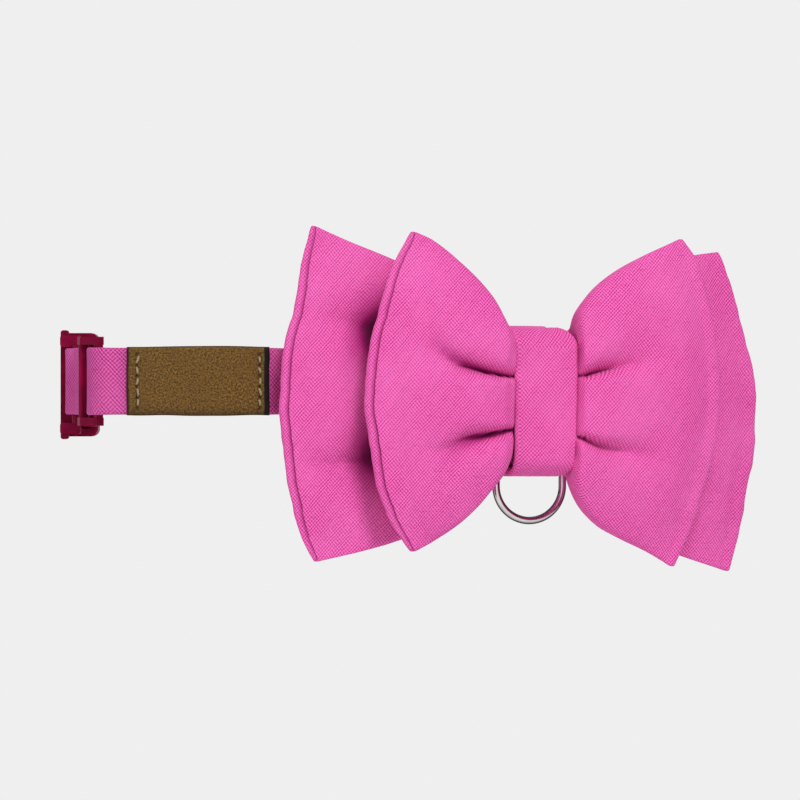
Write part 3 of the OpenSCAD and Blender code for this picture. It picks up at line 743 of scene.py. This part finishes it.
BACK = {
    "name": "back_bow", "nodes": ("back_bow_cover", "back_bow_wadding"),
    "waist": (-5.2, -4.6), "slit": 0.8, "spread": 1.6, "hold": 5.0,
    "mid_y": ((0, -5.56), (0.25, -6.1), (0.5, -6.2), (0.75, -5.8), (1, -4.5)),
    "front_t": ((0, 2.5), (0.2, 2.7), (0.45, 3.2), (0.7, 3.6), (0.88, 3.1), (1, 2.1)),
    "back_t": ((0, 2.6), (0.2, 3.3), (0.45, 3.85), (0.7, 3.5), (0.9, 2.7), (1, 2.1)),
    -1: {"top": [(X0, 9.4), (9.5, 14.2), (15.0, 17.4), (21.2, 20.0), (28.0, 22.4), (34.4, 24.7)],
         "low": [(X0, -9.4), (9.0, -15.0), (14.0, -18.9), (18.8, -21.6), (25.0, -23.7), (31.9, -25.5)],
         "end": [(31.9, -25.5), (33.9, -21.8), (35.9, -15.0), (37.1, -9.0), (37.9, -2.0), (37.8, 5.0),
                 (36.2, 12.8), (35.4, 19.0), (34.4, 24.7)],
         "creases": [((5.0, 3.5), (14.0, 5.4), (22.0, 8.4), (31.0, 10.6), 1.0, 36.0),
                     ((5.0, -4.5), (14.0, -6.6), (22.0, -8.6), (31.0, -10.8), 1.0, 36.0)]},
    1: {"top": [(X0, 9.4), (9.5, 14.6), (15.0, 18.6), (20.0, 21.4), (25.0, 22.8), (29.4, 23.5)],
        "low": [(X0, -9.4), (9.5, -14.6), (15.0, -18.8), (20.0, -21.2), (25.0, -22.6), (32.9, -24.5)],
        "end": [(32.9, -24.5), (34.2, -17.6), (35.0, -12.0), (35.9, -5.6), (35.9, 0.5), (35.0, 7.0),
                (33.3, 12.0), (31.4, 18.4), (29.4, 23.5)],
        "creases": [((5.0, 3.5), (14.0, 5.4), (22.0, 8.0), (31.0, 10.5), 0.7, 28.0),
                    ((5.0, -4.5), (14.0, -7.6), (22.0, -10.6), (31.0, -13.0), 0.7, 28.0)]},
}
FRONT_EDGE = np.array(FRONT[-1]["end"])
# Shape of a wing's sewn end, from the front panel round to the back panel:
# (share of the end's roundness outwards, share of the half-thickness, distance drawn into the seam)
END = ((0.0, -1.0, 0.0), (0.3, -0.97, 0.0), (0.48, -0.92, 0.0), (0.56, -0.86, 0.12), (0.6, -0.8, 0.6),
       (0.64, -0.73, 1.0), (0.68, -0.68, 0.6), (0.76, -0.69, 0.12), (0.92, -0.68, 0.0), (1.12, -0.5, 0.0),
       (1.28, -0.2, 0.0), (1.32, 0.15, 0.0), (1.24, 0.5, 0.0), (0.85, 0.85, 0.0), (0.0, 1.0, 0.0))
ENDS = {-1: END, 1: tuple((out, -t, drawn) for out, t, drawn in END[::-1])}     # a right seam is behind
# Columns in a wing and at the waist, and rows, of the bow's grid and of the one that Cloth swells
FINE, COARSE = (64, 5, 101), (30, 5, 37)


def bow_grid(spec, per_wing, waist, rows):
    """Points of a closed two-panel pillow as a ring of columns by rows, and what each column is:
    w is the share of the way outwards, face -1 on the front panel and 1 on the back one."""
    even = np.linspace(-1, 1, rows)
    v = np.sin(even * np.pi / 2)
    q = (even + 1) / 2
    share = np.linspace(0, 1, per_wing)
    w_steps = 0.75 * share + 0.25 * (share ** 2 * (3 - 2 * share))
    panel_round = np.clip(1 - np.abs(v) ** 2.3, 0, 1) ** 0.5
    box = (1 - np.abs(v) ** 7) ** 0.5
    full = np.clip(1 - v ** 8, 0, 1) ** 0.5

    def wing(side):
        """Columns as (xz of each row, w, side), outwards from the band."""
        d = spec[side]
        top, low = curve(d["top"], w_steps), curve(d["low"], w_steps)
        end = curve(d["end"], q)
        near = np.stack([np.full(rows, X0), v * WAIST_H], -1)
        out = []
        end_v = np.stack([np.interp((v + 1) / 2, q, end[:, k]) for k in (0, 1)], -1)
        up = ((v + 1) / 2)[:, None]
        down = 1 - up
        for i, w in enumerate(w_steps):
            corners = (1 - w) * (down * near[0] + up * near[-1]) + w * (down * end[0] + up * end[-1])
            xz = (1 - w) * near + w * end_v + down * low[i] + up * top[i] - corners
            xz[:, 0] -= LIP * full * smooth(0.75, 1.0, w)
            out.append((xz * [side, 1], w, side))
        return out

    middle = [(np.stack([np.full(rows, x), v * WAIST_H], -1), 0.0, 0)
              for x in np.linspace(-X0, X0, waist + 2)[1:-1]]
    columns = wing(-1)[::-1] + middle + wing(1)
    count, ends = len(columns), len(END) - 2
    ring = 2 * count + 2 * ends
    P = np.zeros((ring, rows, 3))
    info = {key: np.zeros(ring) for key in ("w", "side", "face", "painted_seam_shade")}
    info.update(v=v, count=count, ends=ends)
    for c, (xz, w, side) in enumerate(columns):
        mid = float(table(w, *spec["mid_y"]))
        for face, k in ((-1, c), (1, ring - ends - 1 - c)):
            t = float(table(w, *spec["front_t" if face < 0 else "back_t"]))
            P[k, :, 0], P[k, :, 2] = xz[:, 0], xz[:, 1]
            near_band = float(1 - smooth(0.02, 0.4, w))
            P[k, :, 1] = mid + face * t * (panel_round + (box - panel_round) * near_band)
            info["w"][k], info["side"][k], info["face"][k] = w, side, face
    for side in (-1, 1):
        f = P[count - 1 if side > 0 else 0]
        b = P[count + ends if side > 0 else ring - ends - 1]
        mid, half = (f[:, 1] + b[:, 1]) / 2, (b[:, 1] - f[:, 1]) / 2
        for e in range(1, ends + 1):
            out, across_t, drawn = ENDS[side][e]
            k = count - 1 + e if side > 0 else ring - e
            draw = drawn * smooth(1.0, 0.93, np.abs(v))
            P[k, :, 0] = f[:, 0] + side * (full * 1.5 * out - 1.3 * draw)
            P[k, :, 1] = mid + half * across_t
            P[k, :, 2] = f[:, 2]
            info["w"][k], info["side"][k], info["face"][k] = 1.0, side, across_t
            # how dark the painted shade along the seam is
            info["painted_seam_shade"][k] = min(1.0, 2.5 * drawn)
    return P, info


def pillow_mesh(info):
    """Index of each (column, row), shared along the folds, and the faces with their cells."""
    ring, rows, count, ends = len(info["w"]), len(info["v"]), info["count"], info["ends"]
    index = np.zeros((ring, rows), int)
    number = 0
    for k in range(ring):
        for j in range(rows):
            if j in (0, rows - 1) and k >= count:
                if k < count + ends:
                    index[k, j] = index[count - 1, j]
                elif k < 2 * count + ends:
                    index[k, j] = index[2 * count + ends - 1 - k, j]
                else:
                    index[k, j] = index[0, j]
                continue
            index[k, j] = number
            number += 1
    faces, cells = [], []
    for k in range(ring):
        for j in range(rows - 1):
            cell = [(k, j), (k, j + 1), (k + 1, j + 1), (k + 1, j)]
            ids, kept = [], []
            for c in cell:
                i = index[c[0] % ring, c[1]]
                if i not in ids:
                    ids.append(i)
                    kept.append(c)
            if len(ids) > 2:
                faces.append(ids)
                cells.append(kept)
    return index, number, faces, cells


def puffed(P, info):
    """How far Cloth with pressure moves each point of the pillow, in millimetres."""
    index, number, faces, _ = pillow_mesh(info)
    scale = 0.01                      # ten times life size, for the solver
    verts = np.zeros((number, 3))
    verts[index] = P
    mesh = bpy.data.meshes.new("puff")
    mesh.from_pydata([tuple(p * scale) for p in verts], [], [tuple(f) for f in faces])
    obj = bpy.data.objects.new("puff", mesh)
    scene.collection.objects.link(obj)
    held = obj.vertex_groups.new(name="held")
    for k in np.flatnonzero(info["w"] < 0.02):
        held.add([int(i) for i in set(index[k])], 1.0, "REPLACE")
    cloth = obj.modifiers.new("puff", "CLOTH")
    s = cloth.settings
    s.quality = 7
    s.mass = 0.3
    s.tension_stiffness = s.compression_stiffness = 15
    s.shear_stiffness = 8
    s.bending_stiffness = 0.6
    s.air_damping = 1.0
    s.use_pressure = True
    s.uniform_pressure_force = 4.0
    s.vertex_group_mass = "held"
    s.effector_weights.gravity = 0.0
    cloth.collision_settings.use_collision = False
    frames = 20
    cloth.point_cache.frame_start, cloth.point_cache.frame_end = 1, frames
    for f in range(1, frames + 1):
        scene.frame_set(f)
    bpy.context.view_layer.update()
    done = obj.evaluated_get(bpy.context.evaluated_depsgraph_get()).to_mesh()
    co = np.zeros(number * 3)
    done.vertices.foreach_get("co", co)
    moved = co.reshape(-1, 3) / scale - verts
    bpy.data.objects.remove(obj)
    scene.frame_set(1)
    # the outline stays, and the swelling levels off at most of a millimetre
    moved[:, [0, 2]] *= 0.06
    size = np.maximum(np.linalg.norm(moved, axis=1), 1e-9)
    moved *= (1.2 * np.tanh(size / 3.5) / size)[:, None]
    return moved[index]


def places(info):
    """A place from 0 to 4 round the pillow for each column: front 0-1, right end, back 2-3, left end."""
    count, ends = info["count"], info["ends"]
    middle = info["side"][:count] == 0
    inner = np.linspace(-0.02, 0.02, int(middle.sum()) + 2)[1:-1]
    x = np.sign(info["side"][:count]) * (0.03 + 0.97 * info["w"][:count])
    x[middle] = inner
    end = (np.arange(ends) + 1) / (ends + 1)
    return np.concatenate([(x + 1) / 2, 1 + end, 2 + (1 - x[::-1]) / 2, 3 + end])


def upsample(field, coarse, fine):
    """A (ring, row, 3) field of the coarse grid on the fine one, matched by place and v."""
    out = np.zeros((len(fine["w"]), len(fine["v"]), 3))
    cs, fs = places(coarse), places(fine)
    order = np.argsort(cs)
    cv, fv = np.arcsin(coarse["v"]), np.arcsin(fine["v"])
    for c in range(3):
        along = np.stack([np.interp(fs, cs[order], field[order, j, c]) for j in range(field.shape[1])], -1)
        out[..., c] = np.stack([np.interp(fv, cv, along[k]) for k in range(len(fs))])
    # each sewn end moves with the two panels it joins
    count, ends = fine["count"], fine["ends"]
    for e in range(1, ends + 1):
        for side, k, f, b in ((1, count - 1 + e, count - 1, count + ends), (-1, -e, 0, -ends - 1)):
            share = (ENDS[side][e][1] + 1) / 2
            out[k] = (1 - share) * out[f] + share * out[b]
    return out


def creased(P, info, spec):
    """The gathers that run out from the band, puckers along the sewn ends and slight unevenness, and the
    painted shade in the gathers, along the seams, where the wing goes under the band and under the front
    wing's edge.
    """
    Q = P.copy()
    painted_shade = np.zeros(P.shape[:2])
    for k in range(len(info["w"])):
        side, face, w = int(info["side"][k]), info["face"][k], info["w"][k]
        x, z = P[k, :, 0], P[k, :, 2]
        d = np.abs(x)
        if side and abs(face) == 1:
            level = spec["waist"][0 if face < 0 else 1]
            rise = face * (P[k, :, 1] - level)
            keep = np.ones(len(x))
            for a, b, c, e, depth, reach in spec[side]["creases"]:
                line = table(d, a, b, c, e)
                run = np.clip((d - X0) / reach, 0, 1)
                off = (z - line) * np.sign(line)
                # the middle lobe ends steeply and the outer lobe sinks gently behind it
                width = spec["slit"] + 0.6 * run + spec["spread"] * run ** 2
                off = np.abs(off) / (width * np.where(off > 0, 1.7, 0.6))
                cut = 0.6 * np.exp(-off * 1.2) + 0.4 * np.exp(-(off / 2.6) ** 2)
                keep *= 1 - depth * (1 - run ** spec["hold"]) ** 1.3 * cut
                # painted shade in the gathers: lighter on the right wing, and it ends sooner there
                start, stop, most = (0.1, 0.45, 0.6) if side > 0 else (0.25, 0.75, 0.9)
                slit = np.exp(-(off / 0.8) ** 2) * (1 - smooth(start, stop, run))
                painted_shade[k] = np.maximum(painted_shade[k], most * slit)
            # painted shade: a dark line where the wing goes under the band
            line = np.exp(-((d - X0) / 0.3) ** 2) * smooth(9.5, 7.5, np.abs(z))
            painted_shade[k] = np.maximum(painted_shade[k], 0.6 * line)
            if face < 0 and side < 0 and spec is BACK:
                # painted deep shade under the front wing's edge, deepest in the gathers
                past = d - np.interp(z, FRONT_EDGE[:, 1], FRONT_EDGE[:, 0])
                under = smooth(-11.0, -5.0, past) * (1 - smooth(-1.8, 4.4, past))
                gather = 1.15 * np.exp(-((z - 9.2) / 5.0) ** 2) + np.exp(-((z + 9.2) / 4.8) ** 2)
                painted_shade[k] = np.maximum(painted_shade[k], under * (0.1 + 0.75 * gather) * smooth(24, 15, np.abs(z)))
            Q[k, :, 1] = level + face * rise * keep
            inner = smooth(0.0, 0.5, 1 - info["v"] ** 2)
            Q[k, :, 1] += face * 0.09 * inner * wobble(31 + int(face), 0.8 * x + 0.5 * z, 4, 15.0)
        if side:
            near_end = smooth(0.8, 1.0, w)
            Q[k, :, 1] += face * 0.11 * near_end * wobble(41 + side, z, 6, 9.0)
            Q[k, :, 0] += side * 0.10 * near_end * wobble(47 + side, z, 5, 11.0) * (1 - info["v"] ** 6)
            # painted shade along the seam's groove
            painted_shade[k] = np.maximum(painted_shade[k], info["painted_seam_shade"][k] * smooth(1.0, 0.94, np.abs(info["v"])))
    return Q, painted_shade


def weave_maps(P, info):
    """Weave coordinates of columns k and k + 1, for every k: lengths along the cloth on both panels,
    measured out from the middle, and on round the sewn ends."""
    ring, rows, _ = P.shape
    count, ends = info["count"], info["ends"]
    mid = rows // 2                   # the row at the bow's middle height
    along = np.zeros(ring)
    for first, last in ((0, count), (count + ends, 2 * count + ends)):
        row = P[first:last, mid]
        step = np.sign(np.diff(row[:, 0])) * np.linalg.norm(np.diff(row[:, :2], axis=0), axis=1)
        length = np.concatenate([[0], np.cumsum(step)])
        along[first:last] = length - length[count // 2] + row[count // 2, 0] - row[:, 0]
    up = lengths(P[..., 1:].swapaxes(0, 1)).T
    U0 = P[..., 0] + along[:, None]
    V0 = (P[:, mid, 2] - up[:, mid])[:, None] + up
    ends_of = []
    for side, edge, order in ((1, count - 1, list(range(count - 1, count + ends + 1))),
                              (-1, 0, [0] + list(range(ring - 1, ring - ends - 2, -1)))):
        ends_of.append((side, edge, order, lengths(P[order])))
    maps = []
    for k in range(ring):
        pair = [k, (k + 1) % ring]
        U, V = U0[pair], V0[pair]
        for side, edge, order, round_end in ends_of:
            if pair[0] in order and pair[1] in order:
                for i in (0, 1):
                    U[i] = U0[edge] + side * round_end[order.index(pair[i])]
                    V[i] = V0[edge]
        maps.append((U, V))
    return maps


def build_bow(spec):
    """One padded bow: cut, filled, gathered and sewn."""
    fine, info = bow_grid(spec, *FINE)
    coarse, rough = bow_grid(spec, *COARSE)
    fine = fine + upsample(puffed(coarse, rough), rough, info)
    P, painted_shade = creased(fine, info, spec)
    # the roll of the whole bow, then its height
    c, s = math.cos(BOW_ROLL), math.sin(BOW_ROLL)
    x, z = P[..., 0].copy(), P[..., 2].copy()
    P[..., 0], P[..., 2] = x * c + z * s, z * c - x * s + BOW_Z
    index, number, faces, cells = pillow_mesh(info)
    verts = np.zeros((number, 3))
    verts[index] = P
    maps = weave_maps(fine, info)
    uvs = []
    for cell in cells:
        first = min(k for k, _ in cell)
        U, V = maps[first]
        uvs.append([(U[k - first, j], V[k - first, j]) for k, j in cell])
    obj = new_object(spec["name"], verts, faces, uvs, CLOTH, "bow")
    shade = np.zeros(number, np.float32)
    shade[index] = painted_shade
    obj.data.attributes.new("painted_shade", "FLOAT", "POINT").data.foreach_set("value", shade)
    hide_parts(*spec["nodes"])


build_bow(FRONT)
build_bow(BACK)


# -------------------- the centre band

def build_band():
    """A folded strip of the same cloth round both bows and the strap."""
    y0, y1 = band_low[1] - BOW[1], band_high[1] - BOW[1]
    half = (band_high[2] - band_low[2]) / 2
    t = 0.9
    back_half_w = 2.22                # narrower at the back, beside the ring
    r_front, r_back = 3.0, 1.9
    path = []
    for y, r, up, angle in ((y0 + r_front, r_front, 1, 180), (y1 - r_back, r_back, 1, 90),
                            (y1 - r_back, r_back, -1, 0), (y0 + r_front, r_front, -1, 270)):
        path += arc((y, up * (half - r)), r, angle, angle - 90, 11)
    path, length = resample(path + path[:1], 0.5)
    path = path[:-1]
    n_path = len(path)
    d = np.roll(path, -1, axis=0) - np.roll(path, 1, axis=0)
    d /= np.linalg.norm(d, axis=1)[:, None]
    inward = np.stack([d[:, 1], -d[:, 0]], -1)
    # section: (share of the half-width, depth inwards)
    turn = np.radians(np.linspace(0, 180, 7))
    right = [(1 - 0.45 / 4.8 * (1 - math.sin(a)), t / 2 - t / 2 * math.cos(a)) for a in turn]
    face = [(s, 0.0) for s in np.linspace(-0.86, 0.86, 13)]
    inner = [(s, t) for s in np.linspace(0.86, -0.86, 9)]
    left = [(-s, y) for s, y in right[::-1]]
    section = np.array(face + right + inner + left)
    around = lengths(np.vstack([section, section[:1]]) * [BAND_W / 2, 1])
    rings = np.zeros((n_path, len(section), 3))
    for i in range(n_path):
        y, z = path[i]
        half_w = back_half_w + (BAND_W / 2 - back_half_w) * smooth(-1.6, -4.6, y)
        front = smooth(-3.0, -8.0, y)
        # the front corners are rounded, the right ones more
        turn_over = np.clip((abs(z) - half + 3.0) / 3.1, 0, 1)
        cut = (1 - math.sqrt(1 - turn_over ** 2)) * smooth(0.0, -6.0, y)
        crown = 0.28 * (1 - section[:, 0] ** 2) * smooth(-2.0, -8.0, y) * smooth(half, half - 2.5, abs(z))
        dent = 0.05 * wobble(61, section[:, 0] * 4.8 + 3 * length[i], 3, 9.0)
        depth = section[:, 1] + (dent - crown) * (section[:, 1] < t / 2)
        rings[i, :, 0] = section[:, 0] * half_w * (1 + 0.008 * wobble(62, length[i], 4, 14.0))
        rings[i, :, 0] += np.where(section[:, 0] > 0, -2.6, -0.5) * cut * np.abs(section[:, 0])
        rings[i, :, 0] += 0.25 * np.maximum(section[:, 0], 0) * front
        rings[i, :, 1] = y + inward[i, 0] * depth
        rings[i, :, 2] = z + inward[i, 1] * depth + BOW_Z - 0.3 * front
    faces, uvs = [], []
    m = len(section)
    for i in range(n_path):
        for j in range(m):
            quad = (i, j), (i, j + 1), (i + 1, j + 1), (i + 1, j)
            faces.append([(k % n_path) * m + (l % m) for k, l in quad])
            uvs.append([(around[l], length[k]) for k, l in quad])
    obj = new_object("centre_band_cloth", rings.reshape(-1, 3), faces, uvs, CLOTH, "bow")
    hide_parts("centre_band")
    # stitches that close it at the back
    lines = [((0.25 * (-1) ** i, y1 - 0.02, BOW_Z + z), (1, 0, 0.1 * (-1) ** i), (0, 1, 0), 1.1)
             for i, z in enumerate(stitch_z)]
    threads = stitches("band_threads", lines, 0.18, PINK_THREAD, "bow")
    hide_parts("band_stitches")


build_band()


# -------------------- carried CAD nodes

def dress(node, mat, bevel=0.0):
    """Put a material, and a bevel in millimetres, on a CAD node."""
    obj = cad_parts[node]
    obj.data.materials.clear()
    obj.data.materials.append(mat)
    if bevel:
        edge = obj.modifiers.new("edge", "BEVEL")
        edge.width = bevel * MM
        edge.segments = 3
        edge.limit_method = "ANGLE"
        edge.angle_limit = math.radians(35)


for moulded in ("slider", "prong_half", "socket_half"):
    dress(moulded, PLASTIC, 0.22)
dress("d_ring", METAL)
dress("gather_thread", PINK_THREAD)
